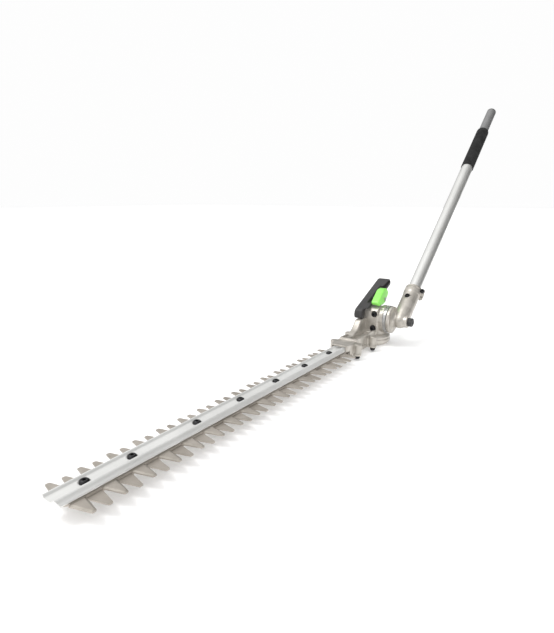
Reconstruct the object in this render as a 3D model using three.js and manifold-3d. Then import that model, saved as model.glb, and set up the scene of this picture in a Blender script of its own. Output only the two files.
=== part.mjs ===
// Pole hedge trimmer: double-acting blade, gear case, tilting elbow and shaft tube.
// Millimetres, Z up. +Y runs from the blade tip to the tube; the origin is the middle of the
// bottom cover's flat face, straight below the tilt axis, which runs along X.
import * as THREE from "three";
import { mergeVertices } from "three/addons/utils/BufferGeometryUtils.js";
import Module from "manifold-3d";

const wasm = await Module();
wasm.setup();

// ---- driving dimensions -------------------------------------------------------------------
const GAP = 0.35; // clearance between neighbouring pieces
const BLADE_Z = 16; // height of the plane between the two blades
const BLADE_T = 2.2; // blade thickness
const PITCH = 34; // tooth pitch of one blade
const TEETH = 16; // teeth a side, upper blade; the lower blade has one less
const TOOTH_Y0 = -667; // middle of the first upper tooth
const TOOTH_TIP = 37; // half width over the tooth tips
const SPINE_X = 12.5; // half width of the blade spine
const BAR_END = -687; // free end of the guide bar
const BAR_IN = -118; // end of the guide bar inside the case
const BAR_Z = BLADE_Z + BLADE_T + 0.9; // underside of the guide bar
const BAR_BOLTS = [-651, -596, -502, -421, -340, -261, -182];
const CASE_FRONT = -149;
const CASE_X = 18; // half width of the case body
const REAR_R = 27; // round rear end of the case, over the crank
const BULGE_R = 33; // and its wider foot, below the lock disc
const PIVOT_Z = 51; // tilt axis height
const BARREL_R = 27;
const DISC_R = 27;
const TILT_DEG = 37.5; // tube above the blade plane, as drawn
const TILT = THREE.MathUtils.degToRad(TILT_DEG);
const STEPS_DOWN = 5; // lock steps from the drawn tilt to straight in line
const STEPS_UP = 19; // and to folded back beside the blade
const LOCK_STEP = TILT_DEG / STEPS_DOWN;
const TUBE_X = 54; // the tube runs in this plane
const TUBE_R = 12.7;
const TUBE_WALL = 1.5;
const TUBE_SPLIT = 640; // the tube meets the thinner coupling tube here, under the grip
const COUPLER_R = 11.2;
const TUBE_END = 740; // end of the coupling tube, from the tilt axis
const SOCKET = 34; // tube start inside the elbow
const NECK_R = 16;
const COLLAR_END = 84;
const CLAMP_TURN = 19; // the clamp's ears point this much below across, degrees
const CLAMP = [17, 77.5]; // clamp screw: distance from the tube's middle, station
const FOAM = [492, 647];
const FOAM_R = 14.4;
const BOSSES = [[23, -120], [25, -58]]; // x, y of the case bolts, mirrored to the other side
const CRANK_THROW = 8.5;
const HANDLE_MID = -9.5; // middle of the grip handle, across
const SCREWS = [[12, 64], [10, 36]]; // x, z of the screws on the front of the barrel

// ---- helpers ------------------------------------------------------------------------------
function solid(geometry) {
  const bare = geometry.index ? geometry.toNonIndexed() : geometry.clone();
  bare.deleteAttribute("normal");
  bare.deleteAttribute("uv");
  const merged = mergeVertices(bare, 1e-4);
  return new wasm.Manifold(
    new wasm.Mesh({
      numProp: 3,
      vertProperties: merged.attributes.position.array,
      triVerts: new Uint32Array(merged.index.array),
    }),
  );
}

function geometryOf(shape) {
  const mesh = shape.getMesh();
  const points = new Float32Array(mesh.numVert * 3);
  for (let i = 0; i < mesh.numVert; i++) {
    for (let k = 0; k < 3; k++) points[3 * i + k] = mesh.vertProperties[mesh.numProp * i + k];
  }
  const indexed = new THREE.BufferGeometry();
  indexed.setAttribute("position", new THREE.BufferAttribute(points, 3));
  indexed.setIndex(new THREE.BufferAttribute(mesh.triVerts, 1));
  const flat = indexed.toNonIndexed();
  flat.computeVertexNormals();
  return flat;
}

const join = (...shapes) => shapes.reduce((a, b) => a.add(b));
const cut = (shape, ...tools) => tools.reduce((a, b) => a.subtract(b), shape);

function box(x0, x1, y0, y1, z0, z1) {
  const geometry = new THREE.BoxGeometry(x1 - x0, y1 - y0, z1 - z0);
  return solid(geometry.translate((x0 + x1) / 2, (y0 + y1) / 2, (z0 + z1) / 2));
}

// Turns a geometry made along Z so that it runs along the named axis.
function along(geometry, axis) {
  if (axis === "x") geometry.rotateY(Math.PI / 2);
  if (axis === "y") geometry.rotateX(-Math.PI / 2);
  return geometry;
}

// Cylinder or cone frustum from a to b along an axis, centred on the point at, which gives the
// other two coordinates.
function rod(axis, r, a, b, at, segments = 28, rEnd = r) {
  const geometry = new THREE.CylinderGeometry(rEnd, r, b - a, segments);
  geometry.rotateX(Math.PI / 2).translate(0, 0, (a + b) / 2);
  return solid(along(geometry, axis).translate(...at));
}

// Turned piece: profile holds [radius, station] pairs round a closed outline.
function turned(axis, profile, at, segments = 28) {
  const points = profile.map(([r, s]) => new THREE.Vector2(r, s));
  const geometry = new THREE.LatheGeometry(points, segments);
  return solid(along(geometry.rotateX(Math.PI / 2), axis).translate(...at));
}

function ring(axis, rIn, rOut, a, b, at, segments = 28) {
  const profile = [[rIn, a], [rOut, a], [rOut, b], [rIn, b], [rIn, a]];
  return turned(axis, profile, at, segments);
}

// Plate with an outline in XY, from z0 to z1.
function plate(outline, z0, z1) {
  const shape = new THREE.Shape(outline.map(([x, y]) => new THREE.Vector2(x, y)));
  const geometry = new THREE.ExtrudeGeometry(shape, { depth: z1 - z0, bevelEnabled: false });
  return solid(geometry.translate(0, 0, z0));
}

// Outline in YZ, drawn out along X from x0 to x1, with an optional bevel inside those limits.
function slab(outline, x0, x1, bevel = 0) {
  const shape = new THREE.Shape(outline.map(([y, z]) => new THREE.Vector2(y, z)));
  const geometry = new THREE.ExtrudeGeometry(shape, {
    depth: x1 - x0 - 2 * bevel,
    bevelEnabled: bevel > 0,
    bevelThickness: bevel,
    bevelSize: bevel,
    bevelOffset: -bevel,
    bevelSegments: 2,
  });
  geometry.translate(0, 0, x0 + bevel);
  geometry.applyMatrix4(new THREE.Matrix4().set(0, 0, 1, 0, 1, 0, 0, 0, 0, 1, 0, 0, 0, 0, 0, 1));
  return solid(geometry);
}

// Rounds each corner of an outline to a short arc of three points.
function eased(outline, r) {
  const out = [];
  outline.forEach((corner, i) => {
    const here = new THREE.Vector2(...corner);
    const before = new THREE.Vector2(...outline.at(i - 1)).sub(here);
    const after = new THREE.Vector2(...outline[(i + 1) % outline.length]).sub(here);
    const step = Math.min(r, before.length() / 2.1, after.length() / 2.1);
    const p = before.setLength(step).add(here);
    const q = after.setLength(step).add(here);
    const mid = p.clone().add(q).multiplyScalar(0.25).addScaledVector(here, 0.5);
    out.push(p.toArray(), mid.toArray(), q.toArray());
  });
  return out;
}

// Straight bevel gear: a toothed frustum from z 0 to h, big end at z 0.
function bevelGear(teeth, r, h, depth) {
  const level = (z, scale) => {
    const points = [];
    for (let i = 0; i < teeth * 4; i++) {
      const angle = (i / (teeth * 4)) * 2 * Math.PI;
      const radius = (i % 4 < 2 ? r : r - depth) * scale;
      points.push([radius * Math.cos(angle), radius * Math.sin(angle), z]);
    }
    return points;
  };
  const n = teeth * 4;
  const points = [...level(0, 1), ...level(h, 1 - h / r), [0, 0, 0], [0, 0, h]];
  const faces = [];
  for (let i = 0; i < n; i++) {
    const j = (i + 1) % n;
    faces.push(i, j, n + j, i, n + j, n + i, j, i, 2 * n, n + i, n + j, 2 * n + 1);
  }
  const geometry = new THREE.BufferGeometry();
  geometry.setAttribute("position", new THREE.Float32BufferAttribute(points.flat(), 3));
  geometry.setIndex(faces);
  return geometry;
}

// ---- materials ----------------------------------------------------------------------------
const make = (color, metalness, roughness) =>
  new THREE.MeshStandardMaterial({ color, metalness, roughness });
const cast = make(0xc9c5bf, 0.6, 0.5);
const extruded = make(0xdedfdc, 0.8, 0.35);
const ground = make(0xb9b2a9, 0.8, 0.4);
const steel = make(0x9a9a9a, 0.9, 0.35);
const blackBolt = make(0x1c1c1c, 0.5, 0.5);
const blackPlastic = make(0x2b2b2d, 0.0, 0.6);
const greenPlastic = make(0x7fd05c, 0.0, 0.45);
const foam = make(0x161616, 0.0, 0.95);
const bronze = make(0xb08a4a, 0.7, 0.45);

const root = new THREE.Group();
const head = new THREE.Group(); // turned with the tilt: local Y runs up the tube
head.position.set(0, 0, PIVOT_Z);
head.rotation.x = TILT;
root.add(head);

function add(name, shape, material, group = root) {
  const mesh = new THREE.Mesh(geometryOf(shape), material);
  mesh.name = name;
  group.add(mesh);
}

// ---- guide bar and its bolts --------------------------------------------------------------
function guideBar() {
  const half = [
    [12, 0], [12.4, 0.5], [12.4, 1.8], [12, 2.8], [9.9, 7.7], [9.2, 8.5], [8.3, 8.8], [7.5, 8.5],
    [6.6, 7.5], [5.2, 6.3], [3, 5.4], [0, 5.1],
  ];
  const left = half.slice(0, -1).reverse().map(([x, z]) => [-x, z]);
  const section = [...half, ...left];
  const shape = new THREE.Shape(section.map(([x, z]) => new THREE.Vector2(x, -z)));
  const length = BAR_IN - BAR_END;
  const geometry = new THREE.ExtrudeGeometry(shape, { depth: length, bevelEnabled: false });
  let bar = solid(geometry.rotateX(-Math.PI / 2).rotateZ(Math.PI).translate(0, BAR_IN, BAR_Z));
  for (const side of [-1, 1]) {
    const corner = [
      [side * 8, BAR_END - 1], [side * 20, BAR_END - 1], [side * 20, BAR_END + 12],
    ];
    bar = bar.subtract(plate(side > 0 ? corner : corner.reverse(), BAR_Z - 1, BAR_Z + 12));
  }
  for (const y of BAR_BOLTS) {
    bar = bar.subtract(rod("z", 3.4, BAR_Z - 1, BAR_Z + 12, [0, y, 0], 12));
    bar = bar.subtract(rod("z", 6.2, BAR_Z + 4.3, BAR_Z + 12, [0, y, 0], 18));
  }
  return bar;
}

// Button-head screw along Z, head up; z is the seat of the head.
function buttonScrew(x, y, z, rShank, reach, rHead, hHead) {
  const profile = [
    [0, z - reach], [rShank, z - reach], [rShank, z], [rHead, z], [rHead, z + 0.4 * hHead],
    [0.7 * rHead, z + hHead], [0.32 * rHead, z + hHead], [0.32 * rHead, z + 0.45 * hHead],
    [0, z + 0.45 * hHead],
  ];
  return turned("z", profile, [x, y, 0], 14);
}

add("guide_bar", guideBar(), extruded);
BAR_BOLTS.forEach((y, i) => {
  const head = BAR_Z + 4.6;
  const foot = BLADE_Z - BLADE_T - 4.6;
  add(`bar_bolt_${i + 1}`, buttonScrew(0, y, head, 2.9, head - foot, 5.2, 3.4), blackBolt);
  const hex = rod("z", 5.6, foot + 0.6, foot + 4, [0, y, 0], 6);
  add(`bar_nut_${i + 1}`, cut(hex, rod("z", 3.3, foot, foot + 5, [0, y, 0], 12)), steel);
});

// ---- blades -------------------------------------------------------------------------------
// Both blades are a spine with teeth on each side, slotted where the bar bolts pass, and end in
// a ring with a crosswise slot for the crank. The spine ends are staggered by half a pitch.
function blade(first, count, z0, tip) {
  const side = [];
  for (let k = 0; k < count; k++) {
    const y = first + k * PITCH;
    side.push([SPINE_X, y - 9], [TOOTH_TIP - 0.6, y - 2.2], [TOOTH_TIP, y - 1.2]);
    side.push([TOOTH_TIP, y + 1.4], [TOOTH_TIP - 0.8, y + 2.6], [SPINE_X, y + 9]);
  }
  side.push([SPINE_X, CASE_FRONT + 4], [9, CASE_FRONT + 10], [9, -8]);
  const outline = [[5, tip], [SPINE_X, tip + 9], ...side];
  const mirrored = outline.map(([x, y]) => [-x, y]).reverse();
  const ridge = plate([...outline, ...mirrored], z0, z0 + BLADE_T);
  let piece = join(ridge, stadium(20.6, 12, z0, z0 + BLADE_T));
  piece = piece.subtract(stadium(18, 9.4, z0 - 1, z0 + BLADE_T + 1));
  for (const y of BAR_BOLTS) piece = piece.subtract(slot(y, z0));
  return piece;
}

function stadium(halfLength, r, z0, z1) {
  const c = halfLength - r;
  const ends = [-c, c].map((x) => rod("z", r, z0, z1, [x, 0, 0], 24));
  return join(...ends, box(-c, c, -r, r, z0, z1));
}

function slot(y, z0) {
  const [a, b] = [z0 - 1, z0 + BLADE_T + 1];
  const reach = CRANK_THROW + 0.6;
  const ends = [-reach, reach].map((dy) => rod("z", 3.6, a, b, [0, y + dy, 0], 8));
  return join(...ends, box(-3.6, 3.6, y - reach, y + reach, a, b));
}

const upperTip = TOOTH_Y0 - 12;
add("upper_blade", blade(TOOTH_Y0, TEETH, BLADE_Z + 0.2, upperTip), ground);
const lowerZ = BLADE_Z - 0.2 - BLADE_T;
add("lower_blade", blade(TOOTH_Y0 + PITCH / 2, TEETH - 1, lowerZ, TOOTH_Y0 - 4), ground);

// ---- gear case ----------------------------------------------------------------------------
const CASE_Z = 12.9; // parting plane with the bottom cover
const HUMP_IN = -4.8; // the raised back under the handle's foot ends here, across
const CAVITY_R = 24.6;

function gearCase() {
  const nose = plate(
    eased(
      [
        [14.6, CASE_FRONT], [20, -129], [CASE_X - 1, -110],
        [CASE_X - 1, -12], [1 - CASE_X, -12], [1 - CASE_X, -110],
        [-20, -129], [-14.6, CASE_FRONT],
      ],
      3,
    ),
    CASE_Z,
    31,
  );
  const hump = slab(
    eased(
      [[-84, 14], [-84, 30.5], [-66, 37], [-56, 45], [-47, 54.3], [0, 54.5], [0, 14]],
      3,
    ),
    -CASE_X,
    HUMP_IN,
    2,
  );
  const rear = turned(
    "z",
    [
      [0, CASE_Z], [BULGE_R, CASE_Z], [BULGE_R, 17], [BULGE_R - 1.5, 20], [REAR_R, 23],
      [REAR_R, 46], [0, 46],
    ],
    [0, 0, 0],
    36,
  );
  const barrel = turned(
    "x",
    [[0, -24], [22, -24], [25, -21], [25, 18], [BARREL_R, 19], [BARREL_R, 28], [0, 28]],
    [0, 0, PIVOT_Z],
    36,
  );
  const bosses = [];
  for (const side of [-1, 1]) {
    for (const [x, y] of BOSSES) {
      bosses.push(rod("z", 7.4, CASE_Z, 28, [side * x, y, 0], 20));
      const [a, b] = side < 0 ? [-x, -14] : [14, x];
      bosses.push(box(a, b, y - 5.5, y + 5.5, CASE_Z, 26.5));
    }
  }
  const face = slab(eased([[-28, 24], [-28, 70], [-21, 76], [0, 77], [0, 24]], 3), -4.8, 19, 1.5);
  const outer = join(nose, hump, rear, barrel, ...bosses, face);
  const crankRoom = rod("z", CAVITY_R, CASE_Z - 1, 34, [0, 0, 0], 32);
  const bladeTop = BLADE_Z + BLADE_T + 1.2;
  const bladeRoom = box(-13.2, 13.2, CASE_FRONT - 1, -10, CASE_Z - 1, bladeTop);
  const barRoom = box(-12.8, 12.8, CASE_FRONT - 1, BAR_IN + GAP, BAR_Z - GAP, BAR_Z + 9.2);
  const mouth = box(-26, 26, CASE_FRONT - 1, CASE_FRONT + 12, CASE_Z - 1, bladeTop);
  const shaftRoom = rod("z", 12.5, 30, PIVOT_Z, [0, 0, 0], 24);
  const gearRoom = rod("x", 15, -16, 20, [0, 0, PIVOT_Z], 24);
  const throat = rod("x", 11, 19, 29, [0, 0, PIVOT_Z], 24);
  const holes = [];
  for (const side of [-1, 1]) {
    for (const [x, y] of BOSSES) holes.push(rod("z", 2.9, CASE_Z - 1, 25, [side * x, y, 0], 10));
  }
  const pockets = SCREWS.flatMap(([x, z]) => [
    rod("y", 5.9, -34, -24.6, [x, 0, z], 18),
    rod("y", 2.5, -25, -17, [x, 0, z], 10),
  ]);
  const dowel = rod("z", 2.5, 42, 60, [HANDLE_MID, -38, 0], 10);
  return cut(
    outer, crankRoom, bladeRoom, barRoom, mouth, shaftRoom, gearRoom, throat,
    ...holes, ...pockets, dowel,
  );
}
add("gear_case", gearCase(), cast);

const COVER_Z = 8; // underside of the cover where the bolts pass

function bottomCover() {
  const top = CASE_Z - 0.3;
  const pan = turned(
    "z",
    [[0, 0], [24, 0], [29.5, 2.5], [BULGE_R, 7], [BULGE_R, top], [0, top]],
    [0, 0, 0],
    36,
  );
  const tongue = plate(
    eased([[-16, CASE_FRONT + 8], [16, CASE_FRONT + 8], [17, -14], [-17, -14]], 4),
    COVER_Z,
    top,
  );
  const lugs = [];
  const holes = [];
  for (const side of [-1, 1]) {
    for (const [x, y] of BOSSES) {
      lugs.push(rod("z", 7.2, COVER_Z, top, [side * x, y, 0], 20));
      const [a, b] = side < 0 ? [-x, -13] : [13, x];
      lugs.push(box(a, b, y - 5.3, y + 5.3, COVER_Z, top));
      holes.push(rod("z", 2.9, COVER_Z - 1, top + 1, [side * x, y, 0], 10));
    }
  }
  const room = rod("z", 23.6, 7.5, 14, [0, 0, 0], 28);
  return cut(join(pan, tongue, ...lugs), room, ...holes);
}
add("bottom_cover", bottomCover(), cast);

// Case bolts come up from below, so their buttons point down.
let boltNumber = 0;
for (const side of [-1, 1]) {
  for (const [x, y] of BOSSES) {
    const seat = COVER_Z - 0.3;
    const profile = [
      [0, seat - 1.9], [1.9, seat - 1.9], [1.9, seat - 3.7], [4.2, seat - 3.7],
      [4.9, seat - 2.8], [4.9, seat], [2.5, seat], [2.5, 24], [0, 24],
    ];
    boltNumber += 1;
    add(`case_bolt_${boltNumber}`, turned("z", profile, [side * x, y, 0], 14), blackBolt);
  }
}

// ---- crank, cross shaft and drive shaft ---------------------------------------------------
// The crank pins stop just above the blades: the blades are driven by their own slides.
function crankGear() {
  const web = rod("z", 21, 23, 27.5, [0, 0, 0], 32);
  const pins = [-CRANK_THROW, CRANK_THROW].map((x) =>
    rod("z", 6, BLADE_Z + BLADE_T + 0.9, 24, [x, 0, 0], 20),
  );
  const hub = rod("z", 7, 27, 36, [0, 0, 0], 20);
  const gear = solid(bevelGear(18, 11.6, 3, 1.4).translate(0, 0, 35));
  return join(web, ...pins, hub, gear);
}
add("crank_gear", crankGear(), steel);
add("crank_bearing", ring("z", 7.4, 12.2, 28.2, 33.6, [0, 0, 0], 24), steel);

function crossShaft() {
  const shaft = rod("x", 4, -15, 45, [0, 0, PIVOT_Z], 16);
  const inner = bevelGear(14, 10.6, 3, 1.4).rotateY(-Math.PI / 2).translate(15.5, 0, PIVOT_Z);
  const outer = bevelGear(12, 8.4, 3, 1.3).rotateY(Math.PI / 2).translate(43, 0, PIVOT_Z);
  return join(shaft, solid(inner), solid(outer));
}
add("cross_shaft", crossShaft(), steel);
add("cross_bearing", ring("x", 4.4, 10.6, 20.5, 26.5, [0, 0, PIVOT_Z], 24), steel);

// ---- case screws and pivot screws ---------------------------------------------------------
SCREWS.forEach(([x, z], i) => {
  const profile = [
    [0, -29], [2, -29], [2, -32.5], [5.2, -32.5], [5.2, -25], [2.1, -25], [2.1, -18], [0, -18],
  ];
  add(`pivot_screw_${i + 1}`, turned("y", profile, [x, 0, z], 16), blackBolt);
});

// ---- handle and unlock lever --------------------------------------------------------------
const LEVER_PIN = [8, 88]; // y, z

function gripHandle() {
  const outline = eased(
    [
      [-47, 55], [-46, 72], [67, 121], [75, 108], [8, 78.8], [-19, 79.2], [-31, 70], [-31, 55],
    ],
    7,
  );
  const arm = slab(outline, HANDLE_MID - 12.5, HANDLE_MID + 12.5, 2);
  const peg = rod("z", 2.1, 43, 60, [HANDLE_MID, -38, 0], 10);
  const relief = box(HUMP_IN - 0.7, 4, -50, -24, 50, 75);
  return cut(join(arm, peg), relief, rod("x", 2.4, -14, 4, [0, ...LEVER_PIN], 14));
}
add("grip_handle", gripHandle(), blackPlastic);

// Thumb lever beside the handle. Its nose stops just above the lock disc, clear of the notches.
function unlockLever() {
  const outline = eased(
    [[-27, 86], [1, 108], [16, 109], [26, 99], [12, 80], [-21, 79.2]],
    4,
  );
  const paddle = slab(outline, 3.4, 18, 2);
  const foot = slab([[-20, 79.2], [-20, 84], [-4, 88], [3, 84], [3, 79.2]], 15, 25);
  const nose = slab([[-5, 79], [-5, 83], [0, 84], [2.5, 82], [2.5, 79]], 24, 30.5);
  return cut(join(paddle, foot, nose), rod("x", 2.4, 2, 40, [0, ...LEVER_PIN], 14));
}
add("unlock_lever", unlockLever(), greenPlastic);
add("lever_pin", rod("x", 2.05, -13, 19.5, [0, ...LEVER_PIN], 14), steel);
add("lever_clip", ring("x", 2.4, 4.4, 18.4, 19.2, [0, ...LEVER_PIN], 12), steel);

// ---- tilting head, local frame: origin on the tilt axis, Y up the tube ---------------------
const UP_TUBE = [TUBE_X, 0, 0];

// Notches are one lock step apart, from the straight position to the folded one; with the tube
// at its drawn tilt one of them lies at the top, under the lever's nose.
function lockDisc() {
  const disc = ring("x", 11.4, DISC_R, 28.5, 33.6, [0, 0, 0], 48);
  const notches = [];
  for (let k = -STEPS_UP; k <= STEPS_DOWN; k++) {
    const notch = box(28, 31.4, -0.9, 0.9, DISC_R - 2.2, DISC_R + 2);
    notches.push(notch.rotate([k * LOCK_STEP - TILT_DEG, 0, 0]));
  }
  return cut(disc, ...notches);
}

// Puts a shape made at the tube's middle on the side of the tube where the clamp's ears are.
const clampSide = (shape) => shape.rotate([0, CLAMP_TURN, 0]).translate(UP_TUBE);

function elbowHousing() {
  const hub = turned(
    "x",
    [
      [0, 34], [25.5, 34], [26, 34.8], [26, 39.5], [24.5, 41], [18, 41.5], [14, 45], [12, 51],
      [11.4, 70], [0, 70],
    ],
    [0, 0, 0],
    32,
  );
  const ball = solid(new THREE.SphereGeometry(NECK_R - 1.5, 20, 12).translate(...UP_TUBE));
  const neck = turned(
    "y",
    [
      [0, 0], [NECK_R - 1.5, 0], [NECK_R, 18], [NECK_R, 66], [NECK_R + 1, 68],
      [NECK_R + 1, 77], [NECK_R - 0.8, 77.8], [NECK_R - 0.8, 79.2], [NECK_R + 1, 80],
      [NECK_R + 1, COLLAR_END - 0.6], [NECK_R + 0.4, COLLAR_END], [0, COLLAR_END],
    ],
    UP_TUBE,
    32,
  );
  const ears = [[2, 9.6], [-9.6, -2]].map(([a, b]) => clampSide(box(8, 22, CLAMP[1] - 6.5, CLAMP[1] + 6, a, b)));
  const pad = rod("z", 6.5, 8, NECK_R + 2, [TUBE_X, 51, 0], 18);
  const rib = box(TUBE_X - 2, TUBE_X + 2, 8, 52, -NECK_R - 3, -8);
  const outer = join(hub, ball, neck, ...ears, pad, rib);
  return cut(
    outer,
    rod("y", TUBE_R + GAP, SOCKET - GAP, COLLAR_END + 1, UP_TUBE, 32),
    rod("y", 10, 0, SOCKET, UP_TUBE, 24),
    solid(new THREE.SphereGeometry(11.6, 14, 8).translate(...UP_TUBE)),
    rod("x", 11, 33, 47, [0, 0, 0], 24),
    rod("x", 5, 58, 71, [0, 0, 0], 16),
    clampSide(box(9, 30, 46, COLLAR_END + 1, -1.2, 1.2)),
    clampSide(rod("z", 2.9, -14, 14, [...CLAMP, 0], 12)),
    clampSide(rod("z", 5, 9.7, 20, [...CLAMP, 0], 16)),
    rod("z", 2.9, 12, NECK_R + 3, [TUBE_X, 51, 0], 12),
    rod("z", 5.4, NECK_R, NECK_R + 3, [TUBE_X, 51, 0], 16),
  );
}
add("lock_disc", lockDisc(), steel, head);
add("elbow_housing", elbowHousing(), cast, head);

function pivotCap() {
  const cap = turned(
    "x",
    [[0, 60], [4.6, 60], [4.6, 70.4], [8.4, 70.4], [8.4, 77.6], [7.2, 79], [0, 79]],
    [0, 0, 0],
    24,
  );
  const flutes = [];
  for (let k = 0; k < 10; k++) {
    flutes.push(rod("x", 1.1, 71.6, 80, [0, 0, 8.8], 6).rotate([36 * k, 0, 0]));
  }
  return cut(cap, ...flutes);
}
add("pivot_cap", pivotCap(), blackPlastic, head);

// Screw with a socket head along local Z of the head; z is the seat of the head.
function headScrew(x, y, z, rShank, reach, rHead, hHead) {
  const profile = [
    [0, z - reach], [rShank, z - reach], [rShank, z], [rHead, z], [rHead, z + hHead],
    [0.5 * rHead, z + hHead], [0.5 * rHead, z + 0.4 * hHead], [0, z + 0.4 * hHead],
  ];
  return turned("z", profile, [x, y, 0], 16);
}
add("clamp_screw", clampSide(headScrew(...CLAMP, 9.9, 2.5, 26, 4.4, 4.6)), blackBolt, head);
add("locating_screw", headScrew(TUBE_X, 51, NECK_R + 0.4, 2.5, 2.2, 4.6, 4), blackBolt, head);

// ---- tube, grip, drive shaft and its bushes ------------------------------------------------
const bore = TUBE_R - TUBE_WALL;
add("shaft_tube", ring("y", bore, TUBE_R, SOCKET, TUBE_SPLIT, UP_TUBE, 32), extruded, head);
const tail = ring("y", COUPLER_R - TUBE_WALL, COUPLER_R, TUBE_SPLIT + GAP, TUBE_END, UP_TUBE, 28);
add("coupling_tube", tail, steel, head);

function foamGrip() {
  const [a, b] = FOAM;
  const profile = [[TUBE_R + GAP, a], [FOAM_R - 0.8, a], [FOAM_R, a + 1.2]];
  profile.push([FOAM_R, b - 1.2], [FOAM_R - 0.8, b], [TUBE_R + GAP, b], [TUBE_R + GAP, a]);
  return turned("y", profile, UP_TUBE, 24);
}
add("foam_grip", foamGrip(), foam, head);

function driveShaft() {
  const shaft = rod("y", 4, 10.5, TUBE_END - 6, UP_TUBE, 16);
  const coupling = rod("y", 5, TUBE_END - 24, TUBE_END - 6, UP_TUBE, 8);
  const gear = bevelGear(12, 8.4, 3, 1.3).rotateX(Math.PI / 2).translate(TUBE_X, 11, 0);
  return join(shaft, coupling, solid(gear));
}
add("drive_shaft", driveShaft(), steel, head);
add("drive_bearing", ring("y", 4.4, 9.6, 19, 27, UP_TUBE, 24), steel, head);
[120, 330, 540].forEach((y, i) => {
  add(`shaft_bush_${i + 1}`, ring("y", 4.4, bore - GAP, y, y + 22, UP_TUBE, 18), blackPlastic, head);
});
const plugR = COUPLER_R - TUBE_WALL - GAP;
const plug = [
  [6, TUBE_END - 14], [plugR, TUBE_END - 14], [plugR, TUBE_END + GAP],
  [COUPLER_R, TUBE_END + GAP], [COUPLER_R, TUBE_END + 3], [6, TUBE_END + 3], [6, TUBE_END - 14],
];
add("end_plug", turned("y", plug, UP_TUBE, 28), blackPlastic, head);

export default root;
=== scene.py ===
import math

import bmesh
import bpy
from mathutils import Matrix, Vector


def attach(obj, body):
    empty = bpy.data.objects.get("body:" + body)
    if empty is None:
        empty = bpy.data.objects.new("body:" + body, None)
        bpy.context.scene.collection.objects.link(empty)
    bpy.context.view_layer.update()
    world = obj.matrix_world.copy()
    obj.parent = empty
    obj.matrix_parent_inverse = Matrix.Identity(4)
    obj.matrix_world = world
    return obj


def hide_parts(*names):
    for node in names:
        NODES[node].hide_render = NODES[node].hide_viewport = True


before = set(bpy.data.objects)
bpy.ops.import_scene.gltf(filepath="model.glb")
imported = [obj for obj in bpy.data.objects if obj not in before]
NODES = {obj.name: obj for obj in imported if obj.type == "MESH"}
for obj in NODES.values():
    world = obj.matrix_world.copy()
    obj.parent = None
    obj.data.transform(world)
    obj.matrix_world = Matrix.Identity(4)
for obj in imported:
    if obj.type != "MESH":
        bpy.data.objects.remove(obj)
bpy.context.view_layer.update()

MM = 0.001
TILT = math.radians(37.5)
PIVOT_Z = 51
HEAD = Matrix.Translation((0, 0, PIVOT_Z * MM)) @ Matrix.Rotation(TILT, 4, "X")
TUBE_X = 54
TUBE_R = 12.7
COUPLER_R = 11.2
TUBE_SPLIT = 640
TUBE_END = 740
FOAM = (492, 647)
FOAM_R = 14.4
BLADE_Z = 16
BLADE_T = 2.2
PITCH = 34
TOOTH_Y0 = -667
BAR_Z = BLADE_Z + BLADE_T + 0.9
BAR_BOLTS = (-651, -596, -502, -421, -340, -261, -182)
BAR_END = -687
BAR_IN = -118
BOSSES = ((23, -120), (25, -58))
SCREWS = ((12, 64), (10, 36))
CLAMP = (17, 77.5)
CLAMP_TURN = 19
TUBE = HEAD @ Matrix.Translation((TUBE_X * MM, 0, 0))
CLAMP_SIDE = TUBE @ Matrix.Rotation(math.radians(CLAMP_TURN), 4, "Y")

# Brightness of the room along one direction, which points up and to the camera's left.
SKY_AXIS = (-0.6, -0.3, 0.74)
SKY_STOPS = ((-0.9, 0.10), (-0.3, 0.08), (0.08, 0.30), (0.27, 0.38), (0.46, 0.66), (0.78, 1.0))

CAMERA_AT = (0.3759, -0.880, 0.2795)
CAMERA_AZIMUTH = 34.717
CAMERA_ELEVATION = 13.624
CAMERA_LENS = 27.68
FLOOR_DROP = 0.0004
FLOOR_HALF = 14

# ---- camera -------------------------------------------------------------------------------
camera = bpy.data.objects.new("camera", bpy.data.cameras.new("camera"))
bpy.context.scene.collection.objects.link(camera)
camera.data.sensor_width = 36
camera.data.lens = CAMERA_LENS
camera.data.clip_start = 0.01
azimuth = math.radians(CAMERA_AZIMUTH)
elevation = math.radians(CAMERA_ELEVATION)
look = Vector((
    -math.sin(azimuth) * math.cos(elevation),
    math.cos(azimuth) * math.cos(elevation),
    -math.sin(elevation),
))
camera.location = CAMERA_AT
camera.rotation_euler = look.to_track_quat("-Z", "Y").to_euler()
bpy.context.scene.camera = camera


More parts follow.
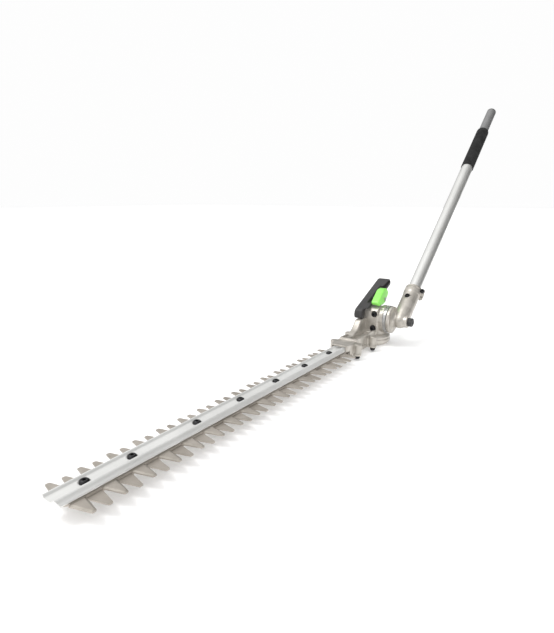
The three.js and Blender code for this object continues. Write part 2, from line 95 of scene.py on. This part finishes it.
# ---- materials ----------------------------------------------------------------------------
def surface(name, dark, light, metallic, rough, patch=40.0, grain=900.0, stretch=(1, 1, 1),
            bump=0.1, depth=0.0002, rough_spread=0.08, coat=0.0, specular=0.5):
    """Principled material. Patches mix dark and light, a finer grain drives roughness and bump."""
    mat = bpy.data.materials.new(name)
    mat.use_nodes = True
    tree = mat.node_tree
    nodes, links = tree.nodes, tree.links
    shader = nodes["Principled BSDF"]
    shader.inputs["Metallic"].default_value = metallic
    shader.inputs["Coat Weight"].default_value = coat
    shader.inputs["Coat Roughness"].default_value = 0.25
    shader.inputs["Specular IOR Level"].default_value = specular
    coords = nodes.new("ShaderNodeTexCoord")
    mapping = nodes.new("ShaderNodeMapping")
    mapping.inputs["Scale"].default_value = stretch
    links.new(coords.outputs["Object"], mapping.inputs["Vector"])
    wide = nodes.new("ShaderNodeTexNoise")
    wide.inputs["Scale"].default_value = patch
    wide.inputs["Detail"].default_value = 4
    links.new(coords.outputs["Object"], wide.inputs["Vector"])
    ramp = nodes.new("ShaderNodeValToRGB")
    ramp.color_ramp.elements[0].position = 0.35
    ramp.color_ramp.elements[0].color = (*dark, 1)
    ramp.color_ramp.elements[1].position = 0.65
    ramp.color_ramp.elements[1].color = (*light, 1)
    links.new(wide.outputs["Fac"], ramp.inputs["Fac"])
    links.new(ramp.outputs["Color"], shader.inputs["Base Color"])
    fine = nodes.new("ShaderNodeTexNoise")
    fine.inputs["Scale"].default_value = grain
    fine.inputs["Detail"].default_value = 3
    links.new(mapping.outputs["Vector"], fine.inputs["Vector"])
    spread = nodes.new("ShaderNodeMapRange")
    spread.inputs["To Min"].default_value = rough - rough_spread
    spread.inputs["To Max"].default_value = rough + rough_spread
    links.new(fine.outputs["Fac"], spread.inputs["Value"])
    links.new(spread.outputs["Result"], shader.inputs["Roughness"])
    relief = nodes.new("ShaderNodeBump")
    relief.inputs["Strength"].default_value = bump
    relief.inputs["Distance"].default_value = depth
    links.new(fine.outputs["Fac"], relief.inputs["Height"])
    links.new(relief.outputs["Normal"], shader.inputs["Normal"])
    return mat


cast = surface("cast_aluminium", (0.40, 0.375, 0.335), (0.56, 0.53, 0.485), 0.7, 0.4,
               patch=55, grain=700, bump=0.35, depth=0.0003)
bar_metal = surface("bar_aluminium", (0.66, 0.66, 0.645), (0.74, 0.74, 0.725), 0.48, 0.34,
                    patch=12, grain=900, stretch=(1, 0.01, 1), bump=0.05)
tube_metal = surface("tube_aluminium", (0.72, 0.72, 0.70), (0.80, 0.80, 0.78), 0.85, 0.3,
                     patch=9, grain=900, stretch=(1, 0.01, 1), bump=0.05)
# Steel tone darkened well below its own colour: the extra darkness is painted shade for the dim
# upper end of the shaft.
tail_metal_painted_shade = surface("tail_steel_painted_shade", (0.20, 0.20, 0.20), (0.27, 0.27, 0.27), 0.7, 0.4,
                     patch=14, grain=900, stretch=(1, 0.02, 1), bump=0.06)
blade_metal = surface("blade_steel", (0.30, 0.27, 0.235), (0.40, 0.365, 0.325), 0.45, 0.4,
                      patch=30, grain=900, stretch=(0.04, 1, 1), bump=0.10)
edge_metal = surface("ground_edge", (0.30, 0.275, 0.24), (0.40, 0.37, 0.33), 0.65, 0.38,
                     patch=60, grain=1200, stretch=(1, 0.05, 1), bump=0.04)
plain_metal = surface("plain_steel", (0.42, 0.42, 0.42), (0.55, 0.55, 0.54), 0.85, 0.35,
                      patch=70, grain=900, bump=0.12)
black_metal = surface("black_steel", (0.012, 0.012, 0.013), (0.03, 0.03, 0.032), 0.6, 0.38,
                      patch=150, grain=1500, bump=0.1)
black_plastic = surface("black_plastic", (0.022, 0.021, 0.021), (0.034, 0.033, 0.033), 0.0, 0.5,
                        patch=35, grain=1300, bump=0.45, depth=0.00025)
green_plastic = surface("green_plastic", (0.20, 0.60, 0.09), (0.25, 0.70, 0.12), 0.0, 0.34,
                        patch=45, grain=1100, bump=0.06, coat=0.15)
foam_rubber = surface("foam_rubber", (0.010, 0.010, 0.010), (0.020, 0.020, 0.020), 0.0, 0.88,
                      patch=60, grain=1600, bump=0.8, depth=0.0004, specular=0.25)


# ---- mesh helpers -------------------------------------------------------------------------
def finish_mesh(name, bm, mats, body, matrix=None, angle=32):
    mesh = bpy.data.meshes.new(name)
    bmesh.ops.recalc_face_normals(bm, faces=bm.faces)
    bm.to_mesh(mesh)
    bm.free()
    return place(name, mesh, mats, body, matrix, angle)


def place(name, mesh, mats, body, matrix=None, angle=32):
    obj = bpy.data.objects.new(name, mesh)
    bpy.context.scene.collection.objects.link(obj)
    if matrix is not None:
        obj.matrix_world = matrix
    for mat in mats if isinstance(mats, (list, tuple)) else [mats]:
        mesh.materials.append(mat)
    for face in mesh.polygons:
        face.use_smooth = True
    mesh.set_sharp_from_angle(angle=math.radians(angle))
    bpy.context.view_layer.update()
    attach(obj, body)
    return obj


def radius_at(kind, r, angle):
    """Radius of an outline: round, a hexagon over its flats, or a fluted knob."""
    if kind == "hex":
        return r / math.cos(math.fmod(angle, math.pi / 3) - math.pi / 6)
    if kind == "flute":
        return r - 0.45 * (1 + math.cos(14 * angle)) / 2
    return r


def turn(bm, profile, seg=64, axis="z"):
    """Adds a turned solid to bm. Profile entries are (radius, station[, kind]) in mm."""
    rings = []
    for entry in profile:
        r, s = entry[:2]
        kind = entry[2] if len(entry) > 2 else "round"
        if r == 0:
            rings.append([bm.verts.new((0, 0, s * MM))])
            continue
        ring = []
        for i in range(seg):
            a = 2 * math.pi * i / seg
            q = radius_at(kind, r, a) * MM
            ring.append(bm.verts.new((q * math.cos(a), q * math.sin(a), s * MM)))
        rings.append(ring)
    closed = len(rings[0]) > 1
    pairs = list(zip(rings, rings[1:] + rings[:1] if closed else rings[1:]))
    for a, b in pairs:
        for i in range(seg):
            j = (i + 1) % seg
            quad = [a[i % len(a)], a[j % len(a)], b[j % len(b)], b[i % len(b)]]
            unique = list(dict.fromkeys(quad))
            if len(unique) > 2:
                bm.faces.new(unique)
    verts = [v for ring in rings for v in ring]
    if axis == "y":
        bmesh.ops.rotate(bm, verts=verts, matrix=Matrix.Rotation(-math.pi / 2, 3, "X"))
    if axis == "x":
        bmesh.ops.rotate(bm, verts=verts, matrix=Matrix.Rotation(math.pi / 2, 3, "Y"))
    return verts


def block(bm, x0, x1, y0, y1, z0, z1, matrix=None):
    made = bmesh.ops.create_cube(bm, size=1)["verts"]
    bmesh.ops.scale(bm, vec=((x1 - x0) * MM, (y1 - y0) * MM, (z1 - z0) * MM), verts=made)
    centre = Vector(((x0 + x1) / 2, (y0 + y1) / 2, (z0 + z1) / 2)) * MM
    bmesh.ops.translate(bm, vec=centre, verts=made)
    if matrix is not None:
        bmesh.ops.transform(bm, matrix=matrix, verts=made)
    return made


def prism(bm, outline, x0, x1):
    """Closed outline in YZ (mm), drawn out along X."""
    a = [bm.verts.new((x0 * MM, y * MM, z * MM)) for y, z in outline]
    b = [bm.verts.new((x1 * MM, y * MM, z * MM)) for y, z in outline]
    bm.faces.new(a)
    bm.faces.new(list(reversed(b)))
    for i in range(len(a)):
        j = (i + 1) % len(a)
        bm.faces.new((a[i], b[i], b[j], a[j]))
    return a + b


def baked(obj):
    """Replaces an object's mesh by what its modifiers make of it."""
    bpy.context.view_layer.update()
    graph = bpy.context.evaluated_depsgraph_get()
    made = bpy.data.meshes.new_from_object(obj.evaluated_get(graph))
    obj.modifiers.clear()
    old = obj.data
    obj.data = made
    bpy.data.meshes.remove(old)


def cutter(make):
    bm = bmesh.new()
    make(bm)
    bmesh.ops.recalc_face_normals(bm, faces=bm.faces)
    mesh = bpy.data.meshes.new("cutter")
    bm.to_mesh(mesh)
    bm.free()
    obj = bpy.data.objects.new("cutter", mesh)
    bpy.context.scene.collection.objects.link(obj)
    return obj


def carve(obj, tool):
    """Adds the cut of tool to obj; tool goes once the result is baked."""
    pocket = obj.modifiers.new("pocket", "BOOLEAN")
    pocket.operation = "DIFFERENCE"
    pocket.solver = "EXACT"
    pocket.use_self = True
    pocket.object = tool


def discard(tool):
    mesh = tool.data
    bpy.data.objects.remove(tool)
    bpy.data.meshes.remove(mesh)


def moulded(name, nodes, body, mat, extra=None, pocket=None, voxel=0.7, smooth=6, keep=0.35):
    """A cast or moulded piece: the CAD solids with extra detail, run together and rounded over."""
    bm = bmesh.new()
    for node in nodes:
        bm.from_mesh(NODES[node].data)
    if extra:
        extra(bm)
    bmesh.ops.recalc_face_normals(bm, faces=bm.faces)
    mesh = bpy.data.meshes.new(name)
    bm.to_mesh(mesh)
    bm.free()
    obj = bpy.data.objects.new(name, mesh)
    bpy.context.scene.collection.objects.link(obj)
    tool = cutter(pocket) if pocket else None
    if tool:
        carve(obj, tool)
    remesh = obj.modifiers.new("remesh", "REMESH")
    remesh.mode = "VOXEL"
    remesh.voxel_size = voxel * MM
    soften = obj.modifiers.new("soften", "SMOOTH")
    soften.factor = 0.5
    soften.iterations = smooth
    thin = obj.modifiers.new("thin", "DECIMATE")
    thin.ratio = keep
    baked(obj)
    if tool:
        discard(tool)
    obj.data.materials.clear()
    obj.data.materials.append(mat)
    for face in obj.data.polygons:
        face.use_smooth = True
    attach(obj, body)
    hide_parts(*nodes)
    return obj


def softened(name, node, body, mat, width=0.3, angle=25, segments=2):
    """A copy of a CAD solid with its flats merged and its edges eased."""
    bm = bmesh.new()
    bm.from_mesh(NODES[node].data)
    bmesh.ops.remove_doubles(bm, verts=bm.verts, dist=2e-6)
    bmesh.ops.dissolve_limit(bm, angle_limit=math.radians(1.0), verts=bm.verts, edges=bm.edges)
    mesh = bpy.data.meshes.new(name)
    bm.to_mesh(mesh)
    bm.free()
    obj = place(name, mesh, mat, body, None, 35)
    ease = obj.modifiers.new("ease", "BEVEL")
    ease.width = width * MM
    ease.segments = segments
    ease.limit_method = "ANGLE"
    ease.angle_limit = math.radians(angle)
    ease.harden_normals = True
    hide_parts(node)
    return obj


def dress(node, mat):
    """Gives a carried-over CAD node its finish."""
    mesh = NODES[node].data
    mesh.materials.clear()
    mesh.materials.append(mat)
    for face in mesh.polygons:
        face.use_smooth = True
    mesh.set_sharp_from_angle(angle=math.radians(30))


# ---- blades -------------------------------------------------------------------------------
def tooth(bm, side, y, z0, z1, up):
    """One tooth: flat face and back, with ground flanks on the outer face (up 1) or back."""
    outline = [(12.4, -9.0), (17.0, -7.45), (36.4, -2.2), (37.0, -1.2), (37.0, 1.4),
               (36.2, 2.6), (17.0, 7.5), (12.4, 9.0)]
    inset = [(12.4, -6.6), (16.5, -5.2), (34.6, -0.9), (35.0, -0.4), (35.0, 0.7),
             (34.4, 1.3), (16.5, 5.2), (12.4, 6.6)]
    flat, ground = (z0, z1) if up else (z1, z0)
    lip = ground - (0.85 if up else -0.85)
    rows = []
    for points, z in ((outline, flat), (outline, lip), (inset, ground)):
        rows.append([bm.verts.new((side * x * MM, (y + dy) * MM, z * MM)) for x, dy in points])
    bm.faces.new(rows[0])
    bm.faces.new(list(reversed(rows[2])))
    for k, (a, b) in enumerate(zip(rows, rows[1:])):
        for i in range(len(a)):
            j = (i + 1) % len(a)
            face = bm.faces.new((a[i], b[i], b[j], a[j]))
            face.material_index = 1 if k == 1 else 0


def blade(name, first, count, z0, up):
    bm = bmesh.new()
    tip = first - 12 if up else first - PITCH / 2 - 4
    last = -143
    z1 = z0 + BLADE_T
    block(bm, -12.45, 12.45, tip + 6, last, z0, z1)
    nose = [(-6, tip), (6, tip), (12.45, tip + 6.05), (-12.45, tip + 6.05)]
    a = [bm.verts.new((x * MM, y * MM, z0 * MM)) for x, y in nose]
    b = [bm.verts.new((x * MM, y * MM, z1 * MM)) for x, y in nose]
    bm.faces.new(a)
    bm.faces.new(list(reversed(b)))
    for i in range(4):
        j = (i + 1) % 4
        bm.faces.new((a[i], b[i], b[j], a[j]))
    block(bm, -9, 9, last, -19, z0, z1)
    for k in range(count):
        for side in (-1, 1):
            tooth(bm, side, first + k * PITCH, z0, z1, up)
    obj = finish_mesh(name, bm, [blade_metal, edge_metal], name.replace("_skin", ""), angle=20)
    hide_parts(name.replace("_skin", ""))
    return obj


blade("upper_blade_skin", TOOTH_Y0, 16, BLADE_Z + 0.2, True)
blade("lower_blade_skin", TOOTH_Y0 + PITCH / 2, 15, BLADE_Z - 0.2 - BLADE_T, False)

# ---- guide bar, bolts and nuts ------------------------------------------------------------
def bar_holes(bm):
    for y in BAR_BOLTS:
        for r, z0, z1 in ((3.4, BAR_Z - 1, BAR_Z + 12), (6.1, BAR_Z + 4.3, BAR_Z + 12)):
            verts = turn(bm, [(0, z0), (r, z0), (r, z1), (0, z1)], seg=40)
            bmesh.ops.translate(bm, vec=(0, y * MM, 0), verts=verts)


def bar_ends(bm):
    for side in (-1, 1):
        corner = [(8, BAR_END - 1), (20, BAR_END - 1), (20, BAR_END + 12)]
        low = [bm.verts.new((side * x * MM, y * MM, (BAR_Z - 2) * MM)) for x, y in corner]
        high = [bm.verts.new((side * x * MM, y * MM, (BAR_Z + 14) * MM)) for x, y in corner]
        bm.faces.new(low)
        bm.faces.new(list(reversed(high)))
        for i in range(3):
            j = (i + 1) % 3
            bm.faces.new((low[i], high[i], high[j], low[j]))


def guide_bar():
    """Drawn section: two ridges, a hollow between them, and a rebate under each edge."""
    half = [(9.6, 0), (9.6, 0.9), (12.1, 0.9), (12.4, 1.2), (12.4, 2.0), (12.2, 2.7), (11.8, 3.3),
            (10.2, 6.9), (9.9, 7.6), (9.4, 8.2), (8.8, 8.55), (8.2, 8.6), (7.6, 8.35), (7.0, 7.7),
            (6.4, 6.6), (5.9, 6.0), (5.2, 5.6), (3, 5.3), (0, 5.2)]
    section = half + [(-x, z) for x, z in reversed(half[:-1])]
    bm = bmesh.new()
    ends = [
        [bm.verts.new((x * MM, y * MM, (BAR_Z + z) * MM)) for x, z in section]
        for y in (BAR_END, BAR_IN)
    ]
    bm.faces.new(ends[0])
    bm.faces.new(list(reversed(ends[1])))
    for i in range(len(section)):
        j = (i + 1) % len(section)
        bm.faces.new((ends[0][i], ends[1][i], ends[1][j], ends[0][j]))
    obj = finish_mesh("guide_bar_skin", bm, bar_metal, "chassis", angle=30)
    tools = [cutter(bar_holes), cutter(bar_ends)]
    for tool in tools:
        carve(obj, tool)
    baked(obj)
    for tool in tools:
        discard(tool)
    obj.data.set_sharp_from_angle(angle=math.radians(30))
    ease = obj.modifiers.new("ease", "BEVEL")
    ease.width = 0.2 * MM
    ease.segments = 2
    ease.limit_method = "ANGLE"
    ease.angle_limit = math.radians(50)
    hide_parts("guide_bar")


guide_bar()


def bolt(name, node, body, matrix, r_shank, reach, r_head, h_head, hexagon):
    """Button-head screw with a hexagon socket; local Z points out of the head, seat at 0."""
    bm = bmesh.new()
    turn(bm, [
        (0, -reach), (r_shank, -reach), (r_shank, 0), (r_head, 0), (r_head, 0.35 * h_head),
        (r_head * 0.93, 0.62 * h_head), (r_head * 0.8, 0.86 * h_head), (r_head * 0.66, h_head),
        (hexagon * 1.32, h_head), (hexagon, h_head - 0.25, "hex"), (hexagon, 0.4 * h_head, "hex"),
        (0, 0.34 * h_head),
    ], seg=36)
    obj = finish_mesh(name, bm, black_metal, body, matrix, 28)
    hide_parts(node)
    return obj


for i, y in enumerate(BAR_BOLTS, 1):
    seat = Matrix.Translation((0, y * MM, (BAR_Z + 4.6) * MM))
    bolt(f"bar_bolt_{i}_skin", f"bar_bolt_{i}", "chassis", seat, 2.9, 14, 5.2, 3.4, 1.9)
    softened(f"bar_nut_{i}_skin", f"bar_nut_{i}", "chassis", plain_metal, 0.35)

number = 0
for side in (-1, 1):
    for x, y in BOSSES:
        number += 1
        seat = Matrix.Translation((side * x * MM, y * MM, 5.9 * MM)) @ Matrix.Rotation(
            math.pi, 4, "X")
        bolt(f"case_bolt_{number}_skin", f"case_bolt_{number}", "chassis", seat,
             2.5, 18, 4.9, 3.7, 1.9)

for i, (x, z) in enumerate(SCREWS, 1):
    seat = Matrix.Translation((x * MM, -25 * MM, z * MM)) @ Matrix.Rotation(math.pi / 2, 4, "X")
    bolt(f"pivot_screw_{i}_skin", f"pivot_screw_{i}", "chassis", seat, 2.1, 6.5, 5.2, 7.5, 2.3)

# ---- cast housings ------------------------------------------------------------------------
def case_detail(bm):
    """Rims round the hollow on the nose, ribs and pads, all run into the casting."""
    block(bm, 13.2, 16.8, -108, -31, 28, 33.6)
    block(bm, -16.8, -13.2, -108, -84, 28, 33.6)
    block(bm, -16.8, 16.8, -112, -108.4, 28, 33.6)
    block(bm, -4.8, 16.8, -34.5, -28, 24, 30.5)
    for side in (-1, 1):
        for x, y in BOSSES:
            verts = turn(bm, [(0, 24), (7.4, 24), (7.4, 28.6), (6.2, 29.6), (0, 29.6)], seg=32)
            bmesh.ops.translate(bm, vec=(side * x * MM, y * MM, 0), verts=verts)
        block(bm, side * 16, side * 18.6, -100, -76, 13.4, 16.5)
    for angle in range(-60, 61, 30):
        turned = Matrix.Translation((0, 0, PIVOT_Z * MM)) @ Matrix.Rotation(
            math.radians(angle), 4, "X")
        block(bm, 19.5, 26.5, -0.9, 0.9, 24, 27.4, turned)


def nose_hollow(bm):
    """Hollow in the top of the case's nose, on the open side of the hump."""
    block(bm, -3.4, 12.6, -105.5, -37, 26, 36)


moulded("gear_case_skin", ["gear_case"], "chassis", cast, extra=case_detail,
        pocket=nose_hollow, voxel=0.6, smooth=3)
moulded("bottom_cover_skin", ["bottom_cover"], "chassis", cast)
moulded("elbow_skin", ["elbow_housing"], "head", cast, voxel=0.6, smooth=3)
softened("lock_disc_skin", "lock_disc", "head", plain_metal, 0.25)

# ---- handle and lever ---------------------------------------------------------------------
def handle_pocket(bm):
    """Shallow pocket along the handle's near side."""
    prism(bm, [(-20, 82.4), (3, 82.4), (67, 112.5), (64, 117), (-22, 86.5)], -7, 4)


moulded("handle_skin", ["grip_handle"], "chassis", black_plastic, pocket=handle_pocket,
        voxel=0.8, smooth=5)
def lever_trim(bm):
    """The lever's nose and outer foot, which stay in the CAD but are not shown."""
    block(bm, 18.4, 33, -26, 10, 76, 90)


moulded("lever_skin", ["unlock_lever"], "lever", green_plastic, pocket=lever_trim,
        voxel=0.6, smooth=6)

# ---- tube, coupling tube, plug, grip and knob ---------------------------------------------
bm = bmesh.new()
bore = TUBE_R - 1.5
turn(bm, [(bore, 34), (TUBE_R - 0.3, 34), (TUBE_R, 34.3), (TUBE_R, TUBE_SPLIT), (bore, TUBE_SPLIT)],
     seg=96, axis="y")
tube = finish_mesh("shaft_tube_skin", bm, tube_metal, "head", TUBE)
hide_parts("shaft_tube")

bm = bmesh.new()
turn(bm, [(COUPLER_R - 1.5, TUBE_SPLIT + 0.4), (COUPLER_R, TUBE_SPLIT + 0.4),
          (COUPLER_R, TUBE_END - 0.3), (COUPLER_R - 0.3, TUBE_END), (COUPLER_R - 1.5, TUBE_END)],
     seg=96, axis="y")
# The coupling tube's dark steel carries painted shade for the dim upper end of the shaft.
tail = finish_mesh("coupling_tube_skin", bm, tail_metal_painted_shade, "head", TUBE)
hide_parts("coupling_tube")

bm = bmesh.new()
plug_r = COUPLER_R - 1.5 - 0.35
turn(bm, [(6, TUBE_END - 14), (plug_r, TUBE_END - 14), (plug_r, TUBE_END + 0.35),
          (COUPLER_R, TUBE_END + 0.35), (COUPLER_R, TUBE_END + 2.4), (COUPLER_R - 0.6, TUBE_END + 3),
          (7, TUBE_END + 3), (6, TUBE_END + 2)], seg=64, axis="y")
plug = finish_mesh("end_plug_skin", bm, black_plastic, "head", TUBE)
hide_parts("end_plug")

bm = bmesh.new()
lower, upper = FOAM
inner = TUBE_R + 0.35
profile = [(inner, lower), (FOAM_R - 0.9, lower), (FOAM_R - 0.3, lower + 0.5), (FOAM_R, lower + 2)]
steps = 34
pitch = (upper - lower - 8) / steps
for k in range(steps):
    s = lower + 4 + k * pitch
    profile += [(FOAM_R, s), (FOAM_R - 0.35, s + 0.35 * pitch), (FOAM_R - 0.35, s + 0.5 * pitch),
                (FOAM_R, s + 0.85 * pitch)]
profile += [(FOAM_R, upper - 2), (FOAM_R - 0.3, upper - 0.5), (FOAM_R - 0.9, upper), (inner, upper)]
turn(bm, profile, seg=72, axis="y")
grip = finish_mesh("foam_grip_skin", bm, foam_rubber, "head", TUBE, 60)
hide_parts("foam_grip")

bm = bmesh.new()
turn(bm, [(0, 60), (4.6, 60), (4.6, 70.4), (7.9, 70.4), (8.4, 70.9, "flute"),
          (8.4, 77.2, "flute"), (7.7, 78.4), (6.6, 79), (3.4, 79), (2.9, 77.8), (0, 77.8)],
     seg=112, axis="x")
knob = finish_mesh("pivot_cap_skin", bm, black_plastic, "head", HEAD)
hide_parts("pivot_cap")

seat = CLAMP_SIDE @ Matrix.Translation((CLAMP[0] * MM, CLAMP[1] * MM, 9.9 * MM))
bolt("clamp_screw_skin", "clamp_screw", "head", seat, 2.5, 26, 4.4, 4.6, 2.0)
seat = HEAD @ Matrix.Translation((TUBE_X * MM, 51 * MM, 16.4 * MM))
bolt("locating_screw_skin", "locating_screw", "head", seat, 2.5, 2.2, 4.6, 4, 2.0)

# ---- carried-over CAD nodes ---------------------------------------------------------------
for node in ("crank_gear", "cross_shaft", "drive_shaft", "crank_bearing", "cross_bearing",
             "drive_bearing", "lever_pin", "lever_clip"):
    dress(node, plain_metal)
for node in ("shaft_bush_1", "shaft_bush_2", "shaft_bush_3"):
    dress(node, black_plastic)

# ---- floor and light ----------------------------------------------------------------------
bm = bmesh.new()
bmesh.ops.create_grid(bm, x_segments=1, y_segments=1, size=FLOOR_HALF)
mesh = bpy.data.meshes.new("floor")
bm.to_mesh(mesh)
bm.free()
floor = bpy.data.objects.new("floor", mesh)
floor.location.z = -FLOOR_DROP
bpy.context.scene.collection.objects.link(floor)
pale = surface("floor_paint", (0.93, 0.93, 0.93), (0.94, 0.94, 0.94), 0.0, 0.9, patch=3,
               grain=60, bump=0.0)
floor.data.materials.append(pale)

world = bpy.data.worlds.new("studio")
bpy.context.scene.world = world
world.use_nodes = True
sky, wires = world.node_tree.nodes, world.node_tree.links
sky.clear()
direction = sky.new("ShaderNodeTexCoord")
along = sky.new("ShaderNodeVectorMath")
along.operation = "DOT_PRODUCT"
along.inputs[1].default_value = SKY_AXIS
wires.new(direction.outputs["Generated"], along.inputs[0])
spread = sky.new("ShaderNodeMapRange")
spread.inputs["From Min"].default_value = -1
wires.new(along.outputs["Value"], spread.inputs["Value"])
shade = sky.new("ShaderNodeValToRGB")
wires.new(spread.outputs["Result"], shade.inputs["Fac"])
while len(shade.color_ramp.elements) < len(SKY_STOPS):
    shade.color_ramp.elements.new(0.5)
for element, (station, value) in zip(shade.color_ramp.elements, SKY_STOPS):
    element.position = (station + 1) / 2
    element.color = (value, value, value, 1)
room = sky.new("ShaderNodeBackground")
wires.new(shade.outputs["Color"], room.inputs["Color"])
backdrop = sky.new("ShaderNodeBackground")
backdrop.inputs["Color"].default_value = (0.985, 0.985, 0.985, 1)
path = sky.new("ShaderNodeLightPath")
either = sky.new("ShaderNodeMixShader")
wires.new(path.outputs["Is Camera Ray"], either.inputs["Fac"])
wires.new(room.outputs[0], either.inputs[1])
wires.new(backdrop.outputs[0], either.inputs[2])
out_node = sky.new("ShaderNodeOutputWorld")
wires.new(either.outputs[0], out_node.inputs["Surface"])


def sun_light(name, energy, spread, travel, shadow):
    """A sun that travels along a direction. One without a shadow is a fill, kept out of gloss."""
    sun = bpy.data.objects.new(name, bpy.data.lights.new(name, "SUN"))
    sun.data.energy = energy
    sun.data.use_shadow = shadow
    sun.visible_glossy = shadow
    sun.data.angle = math.radians(spread)
    sun.rotation_euler = Vector(travel).to_track_quat("-Z", "Y").to_euler()
    bpy.context.scene.collection.objects.link(sun)


sun_light("key", 1.0, 16, (0.35, 0.45, -1.0), True)
sun_light("top_fill", 1.0, 60, (-0.1, 0.3, -1.0), False)
sun_light("side_fill", 2.2, 60, (-0.8, 0.5, -0.35), False)

bpy.context.scene.view_settings.view_transform = "Standard"
